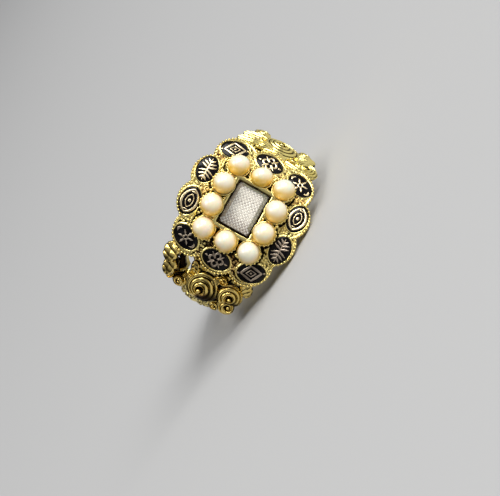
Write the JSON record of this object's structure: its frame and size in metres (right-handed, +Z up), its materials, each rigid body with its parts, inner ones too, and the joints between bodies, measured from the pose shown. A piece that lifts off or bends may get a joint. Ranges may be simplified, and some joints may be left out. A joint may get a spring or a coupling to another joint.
{
  "type": "mourning ring",
  "caption": "Gold finger ring with a scalloped head of enamel cells round half pearls and a bevelled crystal over woven hair, on pierced scroll shoulders.",
  "frame": {"origin": "on the surface that the ring lies on, under the middle of its bounding box", "axes": "the ring lies on its side: +Z up, the head faces -Y and the plain back of the band faces +Y, +X along the band at the head; the finger hole's axis leans 14.4 degrees from +Z towards +Y, because the wide head lifts the front"},
  "size_m": [0.0204, 0.023, 0.0137],
  "materials": {
    "gold": "polished yellow gold with a matted ground between the cells and dark recesses in the scrollwork",
    "inlay_gold": "pale polished gold lines flush with the enamel",
    "enamel": "glossy black enamel, slightly domed",
    "pearl": "cream half pearl with a soft nacre sheen",
    "crystal": "clear flat-cut crystal with bevelled edges",
    "hair": "finely woven pale brown hair"
  },
  "bodies": {
    "root": {"gold_mount": "gold", "hair_panel": "hair", "crystal": "crystal", "pearl_01": "pearl", "pearl_02": "pearl", "pearl_03": "pearl", "pearl_04": "pearl", "pearl_05": "pearl", "pearl_06": "pearl", "pearl_07": "pearl", "pearl_08": "pearl", "pearl_09": "pearl", "pearl_10": "pearl", "enamel_01": "enamel", "enamel_02": "enamel", "enamel_03": "enamel", "enamel_04": "enamel", "enamel_05": "enamel", "enamel_06": "enamel", "enamel_07": "enamel", "enamel_08": "enamel", "enamel_09": "enamel", "enamel_10": "enamel", "inlay_01": "inlay_gold", "inlay_02": "inlay_gold", "inlay_03": "inlay_gold", "inlay_04": "inlay_gold", "inlay_05": "inlay_gold", "inlay_06": "inlay_gold", "inlay_07": "inlay_gold", "inlay_08": "inlay_gold", "inlay_09": "inlay_gold", "inlay_10": "inlay_gold"}
  },
  "joints": []
}
